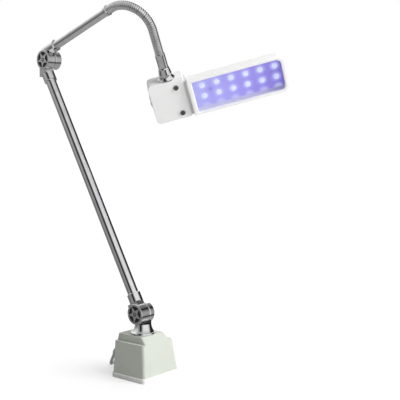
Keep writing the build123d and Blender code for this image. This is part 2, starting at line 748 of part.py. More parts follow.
# ---------------------------------------------------------------- head: swivel, box and switch
NIPPLE_R = 4.0
BOX_CORNER = 7.0
nipple_top = BELL_LENGTH + FERRULE_LENGTH - 6

with BuildPart() as neck_bell:
    with BuildSketch(Plane(origin=head.origin, x_dir=head.x_dir, z_dir=-head.y_dir)):
        with BuildLine():
            bell_bottom = Line((NIPPLE_R, 0), (14.0, 0))
            bell_rim = Line(bell_bottom @ 1, (14.0, 1.6))
            bell_flare = ThreePointArc(bell_rim @ 1, (11.6, 5.0), (10.9, 10.0))
            bell_side = Line(bell_flare @ 1, (9.2, BELL_LENGTH - 1.4))
            bell_top = Line(bell_side @ 1, (8.2, BELL_LENGTH))
            bell_bore = Line(bell_top @ 1, (NIPPLE_R, BELL_LENGTH))
            Line(bell_bore @ 1, bell_bottom @ 0)
        make_face()
    revolve(axis=Axis(head.origin, head.z_dir))
neck_bell.part.label = "neck_bell"
export_step(neck_bell.part, "parts/neck_bell.step")

with BuildPart() as head_nipple:
    rod(head, -HEAD_WALL - 6, nipple_top, NIPPLE_R - 0.06)
    rod(head, -HEAD_WALL - 6, nipple_top, NIPPLE_R - 1.4, mode=Mode.SUBTRACT)
head_nipple.part.label = "head_nipple"
export_step(head_nipple.part, "parts/head_nipple.step")

with BuildPart() as head_nut:
    with BuildSketch(head.offset(-HEAD_WALL - 4.5)):
        RegularPolygon(7, 6, major_radius=False)
        Circle(NIPPLE_R - 0.06, mode=Mode.SUBTRACT)
    extrude(amount=4.5)
head_nut.part.label = "head_nut"
export_step(head_nut.part, "parts/head_nut.step")


def front_plane(y):
    """The plane across the head at a depth y: its x runs along the head, its y up the neck."""
    return Plane(
        origin=head.from_local_coords((0, y, 0)), x_dir=head.x_dir, z_dir=-head.y_dir
    )


def free_end_outline(y, x0, x1, z0, z1, left_radius, right_radius):
    """A rectangle across the head at a depth y whose two ends have their own corner radii."""
    with BuildSketch(front_plane(y)) as outline:
        with Locations(((x0 + x1) / 2, (z0 + z1) / 2)):
            Rectangle(x1 - x0, z1 - z0)
        fillet(outline.vertices().group_by(Axis.X)[0], left_radius)
        fillet(outline.vertices().group_by(Axis.X)[-1], right_radius)
    return outline.sketch


def box_outline(y, inset):
    """The switch box's outline at a depth y, rounder at its free end."""
    return free_end_outline(
        y, BOX_X0 + inset, BOX_X1 - inset, -BOX_H + inset, -inset, BOX_CORNER - inset, 1.0
    )


BOX_FLOOR = BOX_Y0 + COVER_T
COVER_SCREWS = [(11.0, -14.5), (11.0, -62.0)]
SWITCH_Z = -34.0
SWITCH_Y = 3.0
SWITCH_L = 19.0
SWITCH_W = 13.0
left_wall = Plane(
    origin=head.from_local_coords((BOX_X0, SWITCH_Y, SWITCH_Z)),
    x_dir=head.z_dir,
    z_dir=-head.x_dir,
)
lead_hole = Plane(
    origin=head.from_local_coords((BOX_X1, 3, -BOX_H / 2)), x_dir=head.y_dir, z_dir=head.x_dir
)

with BuildPart() as switch_box:
    extrude(box_outline(BOX_Y1, 0), amount=BOX_Y1 - BOX_FLOOR)
    fillet(switch_box.faces().sort_by(Axis(head.origin, head.y_dir))[-1].edges(), 4)
    extrude(
        box_outline(BOX_Y1 - HEAD_WALL, HEAD_WALL), amount=BOX_Y1 - BOX_FLOOR, mode=Mode.SUBTRACT
    )
    with BuildSketch(front_plane(BOX_Y1 - HEAD_WALL)):
        with Locations(*COVER_SCREWS):
            Circle(4)
    extrude(amount=BOX_Y1 - HEAD_WALL - BOX_FLOOR)
    with BuildSketch(front_plane(BOX_FLOOR)):
        with Locations(*COVER_SCREWS):
            Circle(1.6)
    extrude(amount=-14, mode=Mode.SUBTRACT)
    with BuildSketch(left_wall):
        Rectangle(SWITCH_L - 4, SWITCH_W - 3)
    extrude(amount=-HEAD_WALL, mode=Mode.SUBTRACT)
    rod(head, -HEAD_WALL, 0, NIPPLE_R, mode=Mode.SUBTRACT)
    rod(lead_hole, -HEAD_WALL, 0, 5, mode=Mode.SUBTRACT)
switch_box.part.label = "switch_box"
export_step(switch_box.part, "parts/switch_box.step")

with BuildPart() as switch_cover:
    extrude(box_outline(BOX_FLOOR, 0), amount=COVER_T)
    fillet(switch_cover.faces().sort_by(Axis(head.origin, head.y_dir))[0].edges(), 1.2)
    with BuildSketch(front_plane(BOX_FLOOR)):
        with Locations(*COVER_SCREWS):
            Circle(1.8)
    extrude(amount=COVER_T, mode=Mode.SUBTRACT)
switch_cover.part.label = "switch_cover"
export_step(switch_cover.part, "parts/switch_cover.step")

with BuildPart() as cover_screws:
    for screw_x, screw_z in COVER_SCREWS:
        axis_plane = Plane(
            origin=head.from_local_coords((screw_x, BOX_Y0, screw_z)),
            x_dir=head.x_dir,
            z_dir=-head.y_dir,
        )
        rod(axis_plane, 0, 1.9, 4.2)
        rod(axis_plane, -COVER_T - 12, 0, 1.6)
        with BuildSketch(axis_plane.offset(1.9)) as slot:
            Rectangle(4.6, 0.9, rotation=35)
            Rectangle(0.9, 4.6, rotation=35)
        extrude(slot.sketch, amount=-1, mode=Mode.SUBTRACT)
cover_screws.part.label = "cover_screws"
export_step(cover_screws.part, "parts/cover_screws.step")

ROCKER_L = 12.6
ROCKER_W = 8.0
with BuildPart() as switch_body:
    with BuildSketch(left_wall):
        RectangleRounded(SWITCH_L, SWITCH_W, 1)
    extrude(amount=1.4)
    with BuildSketch(left_wall):
        Rectangle(SWITCH_L - 4.1, SWITCH_W - 3.1)
    extrude(amount=-12)
    with BuildSketch(left_wall.offset(1.4)):
        Rectangle(ROCKER_L + 0.8, ROCKER_W + 0.8)
    extrude(amount=-9, mode=Mode.SUBTRACT)
    with BuildSketch(left_wall.offset(-12)):
        with GridLocations(7, 0, 2, 1):
            Rectangle(0.8, 4.6)
    extrude(amount=-7)
switch_body.part.label = "switch_body"
export_step(switch_body.part, "parts/switch_body.step")

ROCKER_TILT = 9.0
ROCKER_PIVOT = -2.6
rocker_side = Plane(
    origin=left_wall.offset(ROCKER_PIVOT).origin, x_dir=left_wall.x_dir, z_dir=left_wall.y_dir
)
rocker_rest = Plane(rocker_side.location * Rotation(0, 0, ROCKER_TILT))
with BuildPart() as rocker:
    with BuildSketch(rocker_rest.offset(-ROCKER_W / 2)) as rocker_profile:
        with BuildLine():
            half_length = ROCKER_L / 2 - 0.4
            top_left = (-half_length, -4.6)
            top_right = (half_length, -4.6)
            Polyline((-half_length + 2.5, 2.2), (-half_length, 0), top_left)
            ThreePointArc(top_left, (0, -3.4), top_right)
            Polyline(top_right, (half_length, 0), (half_length - 2.5, 2.2))
            Line((half_length - 2.5, 2.2), (-half_length + 2.5, 2.2))
        make_face()
    extrude(amount=ROCKER_W)
rocker.part.label = "rocker"
export_step(rocker.part, "parts/rocker.step")

# ---------------------------------------------------------------- head: lamp body
lamp_x1 = LAMP_X0 + LAMP_LENGTH
lamp_bottom = LAMP_TOP - LAMP_H
FRAME_CORNER = 13.0
NEAR_CORNER = 2.5
HOUSING_FRONT = LAMP_FACE + FRAME_T
SIDE_BACK = LAMP_FACE + LAMP_SIDE_DEPTH
back_axis = Axis(head.origin, head.y_dir)
BOSS_X = [65.9, 164.4]
BOSS_Z = (LAMP_TOP + lamp_bottom) / 2
SINK_T = 3.0
SINK_BACK = BOARD_Y + BOARD_T + SINK_T


def lamp_outline(y, inset):
    """The lamp body's outline at a depth y, rounder at its free end."""
    return free_end_outline(
        y,
        LAMP_X0 + inset,
        lamp_x1 - inset,
        lamp_bottom + inset,
        LAMP_TOP - inset,
        NEAR_CORNER,
        FRAME_CORNER - inset,
    )


with BuildPart() as head_gasket:
    with BuildSketch(lead_hole.offset(0.05)):
        with Locations((-3, LAMP_TOP - LAMP_H / 2 + BOX_H / 2)):
            RectangleRounded(28, LAMP_H - 1.6, 3)
            Rectangle(16, LAMP_H - 22, mode=Mode.SUBTRACT)
    extrude(amount=LAMP_X0 - BOX_X1 - 0.1)
head_gasket.part.label = "head_gasket"
export_step(head_gasket.part, "parts/head_gasket.step")

BACK_SLOPE = 9.0
with BuildPart() as lamp_housing:
    extrude(lamp_outline(SIDE_BACK, 0), amount=SIDE_BACK - HOUSING_FRONT)
    loft([lamp_outline(SIDE_BACK, 0), lamp_outline(LAMP_BACK, BACK_SLOPE)])
    extrude(
        lamp_outline(SIDE_BACK, HEAD_WALL), amount=SIDE_BACK - HOUSING_FRONT, mode=Mode.SUBTRACT
    )
    loft(
        [
            lamp_outline(SIDE_BACK - 0.01, HEAD_WALL),
            lamp_outline(LAMP_BACK - HEAD_WALL, BACK_SLOPE + HEAD_WALL / 2),
        ],
        mode=Mode.SUBTRACT,
    )
    with BuildSketch(front_plane(LAMP_BACK - HEAD_WALL / 2)):
        with Locations(*[(x, BOSS_Z) for x in BOSS_X]):
            Circle(3.6)
    extrude(amount=LAMP_BACK - HEAD_WALL / 2 - SINK_BACK)
    with BuildSketch(front_plane(SINK_BACK)):
        with Locations(*[(x, BOSS_Z) for x in BOSS_X]):
            Circle(1.45)
    extrude(amount=-5, mode=Mode.SUBTRACT)
    with BuildSketch(lead_hole.offset(LAMP_X0 - BOX_X1)):
        Circle(5)
    extrude(amount=HEAD_WALL, mode=Mode.SUBTRACT)
lamp_housing.part.label = "lamp_housing"
export_step(lamp_housing.part, "parts/lamp_housing.step")

WINDOW_CORNER = 9.0
opening = free_end_outline(
    HOUSING_FRONT,
    LAMP_X0 + FRAME_SIDE,
    lamp_x1 - FRAME_SIDE,
    lamp_bottom + FRAME_EDGE,
    LAMP_TOP - FRAME_EDGE,
    1.5,
    WINDOW_CORNER,
)
with BuildPart() as window_frame:
    extrude(lamp_outline(HOUSING_FRONT, 0), amount=FRAME_T)
    extrude(opening, amount=FRAME_T, mode=Mode.SUBTRACT)
    fillet(window_frame.faces().sort_by(back_axis)[0].edges(), 2.0)
window_frame.part.label = "window_frame"
export_step(window_frame.part, "parts/window_frame.step")

WINDOW_T = 2.0
with BuildPart() as lamp_window:
    extrude(lamp_outline(HOUSING_FRONT + WINDOW_T, HEAD_WALL + 0.2), amount=WINDOW_T)
lamp_window.part.label = "lamp_window"
export_step(lamp_window.part, "parts/lamp_window.step")

LED_X0 = 53.5
LED_Z = BOSS_Z
led_grid_x = LED_X0 + (LED_COLUMNS - 1) * LED_PITCH_X / 2


with BuildPart() as led_board:
    extrude(lamp_outline(BOARD_Y + BOARD_T, HEAD_WALL + 1.2), amount=BOARD_T)
    with BuildSketch(front_plane(BOARD_Y + BOARD_T)):
        with Locations(*[(x, BOSS_Z) for x in BOSS_X]):
            Circle(1.7)
    extrude(amount=BOARD_T, mode=Mode.SUBTRACT)
led_board.part.label = "led_board"
export_step(led_board.part, "parts/led_board.step")

with BuildPart() as heat_spreader:
    extrude(lamp_outline(SINK_BACK, HEAD_WALL + 5), amount=SINK_T)
    with BuildSketch(front_plane(SINK_BACK)):
        with Locations(*[(x, BOSS_Z) for x in BOSS_X]):
            Circle(1.7)
    extrude(amount=SINK_T, mode=Mode.SUBTRACT)
heat_spreader.part.label = "heat_spreader"
export_step(heat_spreader.part, "parts/heat_spreader.step")

with BuildPart() as board_screws:
    with BuildSketch(front_plane(BOARD_Y)):
        with Locations(*[(x, BOSS_Z) for x in BOSS_X]):
            Circle(2.8)
    extrude(amount=1.8)
    with BuildSketch(front_plane(BOARD_Y)):
        with Locations(*[(x, BOSS_Z) for x in BOSS_X]):
            Circle(1.45)
    extrude(amount=-BOARD_T - SINK_T - 4.5)
board_screws.part.label = "board_screws"
export_step(board_screws.part, "parts/board_screws.step")

LED_BASE_R = 4.6
LED_DOME_R = 3.9
with BuildPart() as leds:
    with BuildSketch(front_plane(BOARD_Y)):
        with Locations((led_grid_x, LED_Z)):
            with GridLocations(LED_PITCH_X, LED_PITCH_Z, LED_COLUMNS, LED_ROWS):
                Circle(LED_BASE_R)
    extrude(amount=1.2)
    with BuildSketch(front_plane(BOARD_Y - 1.2)):
        with Locations((led_grid_x, LED_Z)):
            with GridLocations(LED_PITCH_X, LED_PITCH_Z, LED_COLUMNS, LED_ROWS):
                Circle(LED_DOME_R)
    extrude(amount=1.6, taper=30)
leds.part.label = "leds"
export_step(leds.part, "parts/leds.step")

# ---------------------------------------------------------------- mains cord
GLAND_FLANGE_R = 8.0
GLAND_FLANGE_T = 3.0
BOOT_R = 22.0
BOOT_TURN = 60.0
CORD_R = CORD_D / 2
gland_axis = Plane(origin=(GLAND_X, BACK_Y, GLAND_Z), x_dir=(1, 0, 0), z_dir=(0, 1, 0))
boot_start = gland_axis.offset(GLAND_FLANGE_T)
boot_end = Plane(
    origin=(
        GLAND_X,
        BACK_Y + GLAND_FLANGE_T + BOOT_R * sin(radians(BOOT_TURN)),
        GLAND_Z - BOOT_R * (1 - cos(radians(BOOT_TURN))),
    ),
    x_dir=(1, 0, 0),
    z_dir=(0, cos(radians(BOOT_TURN)), -sin(radians(BOOT_TURN))),
)

with BuildPart() as cord_gland:
    rod(gland_axis, 0, GLAND_FLANGE_T, GLAND_FLANGE_R)
    chamfer(cord_gland.faces().sort_by(Axis.Y)[-1].edges(), 1)
    with BuildLine() as boot_line:
        TangentArc(boot_start.origin, boot_end.origin, tangent=(0, 1, 0))
    with BuildSketch(boot_start) as boot_wide:
        Circle(5.5)
    with BuildSketch(boot_end) as boot_narrow:
        Circle(CORD_R + 1.2)
    sweep([boot_wide.sketch, boot_narrow.sketch], path=boot_line.line, multisection=True)
    rod(gland_axis, -WALL - 2, 0, GLAND_SHANK_R)
    rod(gland_axis, -WALL - 2, 0, 1.8, mode=Mode.SUBTRACT)
cord_gland.part.label = "cord_gland"
export_step(cord_gland.part, "parts/cord_gland.step")

# the cord leaves the boot straight, sinks to the table and lies in a tied coil behind the base,
# in two layers; its far end comes off the coil's upper layer and runs to the plug beside it
coil_outer_line = COIL_R + COIL_HALF_WIDTH - CORD_R
coil_entry = (
    COIL_CENTRE[0] + coil_outer_line * cos(radians(COIL_ENTRY_ANGLE)),
    COIL_CENTRE[1] + coil_outer_line * sin(radians(COIL_ENTRY_ANGLE)),
    CORD_R,
)
cord_points = [
    (boot_end.origin.X, boot_end.origin.Y, boot_end.origin.Z),
    (GLAND_X, 64.7, 17.3),
    (-7.65, 73.6, 7.9),
    (3.8, 84.6, CORD_R),
    (30.2, 97.15, CORD_R),
    coil_entry,
]
coil_height = 2 * CORD_D
coil_exit = (COIL_CENTRE[0], COIL_CENTRE[1] + coil_outer_line, coil_height - CORD_R)
tail_points = [
    coil_exit,
    (coil_exit[0] + 13.0, coil_exit[1] + 0.9, 7.1),
    (coil_exit[0] + 25.0, coil_exit[1] + 0.9, 7.0),
]


def cord_radii(points):
    """One bend radius for each inner corner: as wide as the shorter run beside it allows."""
    radii = []
    for before, corner, after in zip(points, points[1:], points[2:]):
        incoming = Vector(*corner) - Vector(*before)
        outgoing = Vector(*after) - Vector(*corner)
        half_turn = radians(incoming.get_angle(outgoing)) / 2
        radii.append(0.45 * min(incoming.length, outgoing.length) / tan(half_turn))
    return radii


def cord_tube(points):
    """A length of cord along straight runs joined by tangent arcs."""
    radii = cord_radii(points)
    with BuildPart() as tube:
        with BuildLine() as route:
            FilletPolyline(*points, radius=radii)
        start = Plane(origin=route.line @ 0, z_dir=route.line % 0)
        with BuildSketch(start):
            Circle(CORD_R)
        sweep()
    length = sum(edge.length for edge in route.edges())
    ratio = tube.part.volume / (pi * CORD_R**2 * length)
    print("cord run", round(length, 1), "radii", [round(r, 1) for r in radii], "volume", round(ratio, 4))
    return tube


mains_cord = cord_tube(cord_points)
mains_cord.part.label = "mains_cord"
export_step(mains_cord.part, "parts/mains_cord.step")

mains_cord_tail = cord_tube(tail_points)
mains_cord_tail.part.label = "mains_cord_tail"
export_step(mains_cord_tail.part, "parts/mains_cord_tail.step")

with BuildPart() as mains_cord_coil:
    with BuildSketch() as coil_ring:
        with Locations(COIL_CENTRE):
            Circle(COIL_R + COIL_HALF_WIDTH)
            Circle(COIL_R - COIL_HALF_WIDTH, mode=Mode.SUBTRACT)
    extrude(amount=coil_height)
    fillet(mains_cord_coil.edges(), 2)
mains_cord_coil.part.label = "mains_cord_coil"
export_step(mains_cord_coil.part, "parts/mains_cord_coil.step")

TIE_T = 0.8
TIE_W = 3.0
tie_plane = Plane(
    origin=(COIL_CENTRE[0] + COIL_R, COIL_CENTRE[1], 0), x_dir=(1, 0, 0), z_dir=(0, -1, 0)
)
with BuildPart() as cord_tie:
    with BuildSketch(tie_plane.offset(-TIE_W / 2)) as tie_outline:
        with Locations((0, (coil_height + TIE_T) / 2)):
            RectangleRounded(2 * (COIL_HALF_WIDTH + TIE_T) + 0.2, coil_height + TIE_T, 1.5)
            RectangleRounded(2 * COIL_HALF_WIDTH + 0.2, coil_height - TIE_T + 0.2, 1, mode=Mode.SUBTRACT)
    extrude(amount=TIE_W)
cord_tie.part.label = "cord_tie"
export_step(cord_tie.part, "parts/cord_tie.step")

PLUG_L = 36.0
PLUG_W = 26.0
PLUG_T = 14.0
plug_start = tail_points[-1]
plug_run = Vector(*tail_points[-1]) - Vector(*tail_points[-2])
plug_axis = Plane(origin=plug_start, x_dir=(0, -1, 0), z_dir=plug_run)
with BuildPart() as mains_plug:
    with BuildSketch(plug_axis) as plug_neck:
        RectangleRounded(9, 9, 3)
    with BuildSketch(plug_axis.offset(14)) as plug_shoulder:
        RectangleRounded(PLUG_W - 4, PLUG_T - 1, 4)
    with BuildSketch(plug_axis.offset(PLUG_L)) as plug_face:
        RectangleRounded(PLUG_W, PLUG_T - 0.6, 4)
    loft([plug_neck.sketch, plug_shoulder.sketch, plug_face.sketch], ruled=True)
    with BuildSketch(plug_axis.offset(PLUG_L)) as pin_holes:
        with GridLocations(18.6, 0, 2, 1):
            Circle(2)
    extrude(pin_holes.sketch, amount=-8, mode=Mode.SUBTRACT)
mains_plug.part.label = "mains_plug"
export_step(mains_plug.part, "parts/mains_plug.step")

with BuildPart() as plug_pins:
    with BuildSketch(plug_axis.offset(PLUG_L - 8)) as pins:
        with GridLocations(18.6, 0, 2, 1):
            Circle(2)
    extrude(pins.sketch, amount=27)
    fillet(plug_pins.faces().sort_by(Axis(plug_start, plug_axis.z_dir))[-2:].edges(), 1.4)
plug_pins.part.label = "plug_pins"
export_step(plug_pins.part, "parts/plug_pins.step")
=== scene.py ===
"""The uv curing lamp as it looks: its materials, the gooseneck's ribbed hose and the mains cord,
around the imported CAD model. Metres, in the CAD model's frame: +Z up, -Y the front of the base."""

import json
import math

import bpy
from mathutils import Matrix, Vector


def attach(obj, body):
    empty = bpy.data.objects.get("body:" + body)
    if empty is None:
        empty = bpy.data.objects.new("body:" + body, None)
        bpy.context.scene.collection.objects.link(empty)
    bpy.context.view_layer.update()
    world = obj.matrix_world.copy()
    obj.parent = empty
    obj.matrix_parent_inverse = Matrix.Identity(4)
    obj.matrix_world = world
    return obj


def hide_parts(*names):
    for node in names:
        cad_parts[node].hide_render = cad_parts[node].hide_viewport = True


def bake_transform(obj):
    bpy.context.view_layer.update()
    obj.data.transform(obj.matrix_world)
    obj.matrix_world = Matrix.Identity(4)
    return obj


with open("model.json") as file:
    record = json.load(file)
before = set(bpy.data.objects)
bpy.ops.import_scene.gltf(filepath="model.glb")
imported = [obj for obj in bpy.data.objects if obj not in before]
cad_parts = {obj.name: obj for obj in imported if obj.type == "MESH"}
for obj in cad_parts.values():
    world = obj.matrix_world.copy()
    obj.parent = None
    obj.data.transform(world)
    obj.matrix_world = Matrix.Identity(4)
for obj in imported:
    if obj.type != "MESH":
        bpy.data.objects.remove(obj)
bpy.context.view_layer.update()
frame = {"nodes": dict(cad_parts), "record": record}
nodes = frame["nodes"]
joints = {joint["name"]: joint for joint in frame["record"]["behaviour"]["joints"]}

MM = 0.001

# ---------------------------------------------------------------- camera
CAMERA_PLACE = Vector((-0.9329, -0.9332, 0.3950))
CAMERA_AZIMUTH = math.radians(49.02)
CAMERA_PITCH = math.radians(-4.88)
CAMERA_ROLL = math.radians(-0.895)
CAMERA_LENS = 74.64
CAMERA_SENSOR = 36


def make_camera():
    """A camera at standing distance, left of the lamp's front and a little above its base."""
    forward = Vector((
        math.sin(CAMERA_AZIMUTH) * math.cos(CAMERA_PITCH),
        math.cos(CAMERA_AZIMUTH) * math.cos(CAMERA_PITCH),
        math.sin(CAMERA_PITCH),
    ))
    level_right = Vector((math.cos(CAMERA_AZIMUTH), -math.sin(CAMERA_AZIMUTH), 0))
    level_up = level_right.cross(forward)
    right = level_right * math.cos(CAMERA_ROLL) + level_up * math.sin(CAMERA_ROLL)
    up = right.cross(forward)
    turn = Matrix((right, up, -forward)).transposed()
    camera_data = bpy.data.cameras.new("camera")
    camera_data.lens = CAMERA_LENS
    camera_data.sensor_width = CAMERA_SENSOR
    camera = bpy.data.objects.new("camera", camera_data)
    camera.matrix_world = Matrix.Translation(CAMERA_PLACE) @ turn.to_4x4()
    bpy.context.scene.collection.objects.link(camera)
    bpy.context.scene.camera = camera


make_camera()

# ---------------------------------------------------------------- mains cord
CORD_DIAMETER = 5.0
COIL_CENTRE = Vector((73.0, 78.0, 0))
COIL_OUTER_LINE = 38.0
COIL_INNER_LINE = 20.0
COIL_ENTRY_ANGLE = 120.0
COIL_TURNS = 7 + 30 / 360
CLIMB_TURNS = 0.34
POINTS_PER_TURN = 16


def coil_points():
    """The coil's turns, clockwise seen from above: inwards on the table, then out again on top."""
    bulge = 1 / math.cos(math.pi / POINTS_PER_TURN)
    middle = COIL_TURNS / 2
    points = []
    for step in range(1, math.floor(COIL_TURNS * POINTS_PER_TURN)):
        turned = step / POINTS_PER_TURN
        inwards = 1 - abs(turned - middle) / middle
        radius = bulge * (COIL_OUTER_LINE - (COIL_OUTER_LINE - COIL_INNER_LINE) * inwards)
        angle = math.radians(COIL_ENTRY_ANGLE - 360 * turned)
        climb = min(max((turned - middle) / CLIMB_TURNS + 0.5, 0), 1)
        points.append((
            COIL_CENTRE.x + radius * math.cos(angle),
            COIL_CENTRE.y + radius * math.sin(angle),
            CORD_DIAMETER * (0.5 + climb),
        ))
    return points


def make_cord():
    """The cord from the boot down to the table, through its coil and on to the plug."""
    route = [
        (-13, 57.95, 29.0),
        (-13, 64.7, 17.3),
        (-7.65, 73.6, 7.9),
        (3.8, 84.6, 2.5),
        (30.2, 97.15, 2.5),
        (54, 110.9, 2.5),
        *coil_points(),
        (73, 116, 7.5),
        (86, 116.9, 7.1),
        (98, 116.9, 7),
    ]
    curve = bpy.data.curves.new("mains_cord_line", "CURVE")
    curve.dimensions = "3D"
    curve.bevel_depth = 1.0
    curve.bevel_resolution = 6
    curve.use_fill_caps = True
    line = curve.splines.new("NURBS")
    line.points.add(len(route) - 1)
    for point, place in zip(line.points, route):
        point.co = (*(MM * value for value in place), 1)
        point.radius = CORD_DIAMETER / 2 * MM
    line.order_u = 3
    line.use_endpoint_u = True
    line.resolution_u = 6
    cord = bpy.data.objects.new("mains_cord_whole", curve)
    bpy.context.scene.collection.objects.link(cord)
    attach(cord, "base")
    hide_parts("mains_cord", "mains_cord_coil", "mains_cord_tail")
    return cord


cord = make_cord()

# ---------------------------------------------------------------- gooseneck hose
NECK_RADIUS = 7.5
NECK_BORE = 5.4
NECK_LEAD = 8.0
NECK_TAIL = 45.0
BEND_RADIUS = 45.0
BENDS = 7
BEND_STEP = math.radians(115 / BENDS)
ARM_LEAN = math.radians(71)
LEAD_RIBS = 3
RIBS_PER_BEND = 4
TAIL_RIBS = 14
GROOVE_SHARE = 0.22
GROOVE_DEPTH = 1.1
CROWN_DROP = 0.4
STEPS_PER_RIB = 14
HOSE_SIDES = 48
ARM_END = Vector((0, -math.sin(ARM_LEAN), math.cos(ARM_LEAN)))
bend_axis = Vector(joints["neck_bend_1"]["axis"])
first_joint = Vector(joints["neck_bend_1"]["pos_m"]) / MM
neck_root = first_joint - ARM_END * (NECK_LEAD + BEND_RADIUS * math.tan(BEND_STEP / 2))
bend_start = neck_root + ARM_END * NECK_LEAD
bend_centre = bend_start + bend_axis.cross(ARM_END) * BEND_RADIUS
whole_bend = BEND_STEP * BENDS


def neck_point(distance):
    """The hose's centreline at a distance along it: its place and its direction."""
    if distance < NECK_LEAD:
        return neck_root + ARM_END * distance, ARM_END
    angle = min((distance - NECK_LEAD) / BEND_RADIUS, whole_bend)
    turn = Matrix.Rotation(angle, 3, bend_axis)
    place = bend_centre + turn @ (bend_start - bend_centre)
    direction = turn @ ARM_END
    past = distance - NECK_LEAD - BEND_RADIUS * whole_bend
    return place + direction * max(past, 0), direction


def rib_profile(along):
    """The hose's radius at a fraction of one rib: a round crown between narrow grooves."""
    from_groove = min(along, 1 - along)
    rise = min(from_groove / GROOVE_SHARE, 1)
    return NECK_RADIUS - GROOVE_DEPTH * (1 - rise) ** 2 - CROWN_DROP * (2 * along - 1) ** 2


def hose_piece(name, runs):
    """One closed stretch of ribbed hose; runs lists (start, end, number of ribs) along it."""
    samples = []
    for start, end, ribs in runs:
        for rib in range(ribs):
            for step in range(STEPS_PER_RIB):
                along = step / STEPS_PER_RIB
                distance = start + (end - start) * (rib + along) / ribs
                samples.append((distance, rib_profile(along)))
    last = runs[-1][1]
    samples.append((last, rib_profile(0)))
    samples.append((last, NECK_BORE))
    samples.append((samples[0][0], NECK_BORE))
    vertices = []
    for distance, radius in samples:
        place, direction = neck_point(distance)
        outward = bend_axis.cross(direction)
        for side in range(HOSE_SIDES):
            angle = 2 * math.pi * side / HOSE_SIDES
            spoke = bend_axis * math.cos(angle) + outward * math.sin(angle)
            vertices.append((place + spoke * radius) * MM)
    faces = []
    rings = len(samples)
    for ring in range(rings):
        here = ring * HOSE_SIDES
        there = (ring + 1) % rings * HOSE_SIDES
        for side in range(HOSE_SIDES):
            beside = (side + 1) % HOSE_SIDES
            faces.append((here + side, here + beside, there + beside, there + side))
    mesh = bpy.data.meshes.new(name)
    mesh.from_pydata(vertices, [], faces)
    mesh.shade_smooth()
    piece = bpy.data.objects.new(name, mesh)
    bpy.context.scene.collection.objects.link(piece)
    return piece


def make_hose():
    """One stretch of hose for each joint of the neck, which bends across that joint."""
    pieces = []
    step_length = BEND_RADIUS * BEND_STEP
    neck_end = NECK_LEAD + BENDS * step_length + NECK_TAIL
    for number in range(1, BENDS + 1):
        start = NECK_LEAD + (number - 1) * step_length
        end = start + step_length
        runs = [(start, end, RIBS_PER_BEND)]
        replaced = [f"neck_link_{number}"]
        if number == 1:
            runs.insert(0, (0, start, LEAD_RIBS))
        if number == BENDS:
            runs.append((end, neck_end, TAIL_RIBS))
            replaced.append(f"neck_link_{BENDS + 1}")
        piece = hose_piece(f"neck_hose_{number}", runs)
        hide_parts(*replaced)
        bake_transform(piece)
        pieces.append(piece)
    return pieces


hose = make_hose()


# ---------------------------------------------------------------- material helpers
BAND_LENGTH = 0.314  # one band of a wave texture at a scale of 1


def colour(red, green, blue):
    """A linear colour from the 0 to 255 values of a colour chart."""
    channels = [value / 255 for value in (red, green, blue)]
    return tuple(c / 12.92 if c < 0.04045 else ((c + 0.055) / 1.055) ** 2.4 for c in channels)


class Tree:
    """A shader tree, with short ways to add nodes to it."""

    def __init__(self, tree):
        self.tree = tree

    def node(self, kind, links=(), **settings):
        """A new node; links pairs its input sockets with what feeds them or with constants."""
        made = self.tree.nodes.new(kind)
        for name, value in settings.items():
            setattr(made, name, value)
        for socket, source in links:
            if isinstance(source, bpy.types.NodeSocket):
                self.tree.links.new(source, made.inputs[socket])
            else:
                made.inputs[socket].default_value = source
        return made

    def spread(self, source, low, high, start=0.3, end=0.7):
        """Maps what lies between start and end onto low to high."""
        return self.node(
            "ShaderNodeMapRange",
            [
                ("Value", source),
                ("From Min", start),
                ("From Max", end),
                ("To Min", low),
                ("To Max", high),
            ],
        ).outputs["Result"]

    def math(self, operation, *values):
        """The result of one sum on up to three values."""
        return self.node(
            "ShaderNodeMath", list(enumerate(values)), operation=operation
        ).outputs["Value"]

    def ramp(self, source, stops):
        """A colour that runs through stops, each a place from 0 to 1 and its colour."""
        made = self.node("ShaderNodeValToRGB", [("Fac", source)])
        elements = made.color_ramp.elements
        while len(elements) < len(stops):
            elements.new(0.5)
        for element, (at, shade) in zip(elements, stops):
            element.position = at
            element.color = (*shade, 1)
        return made.outputs["Color"]


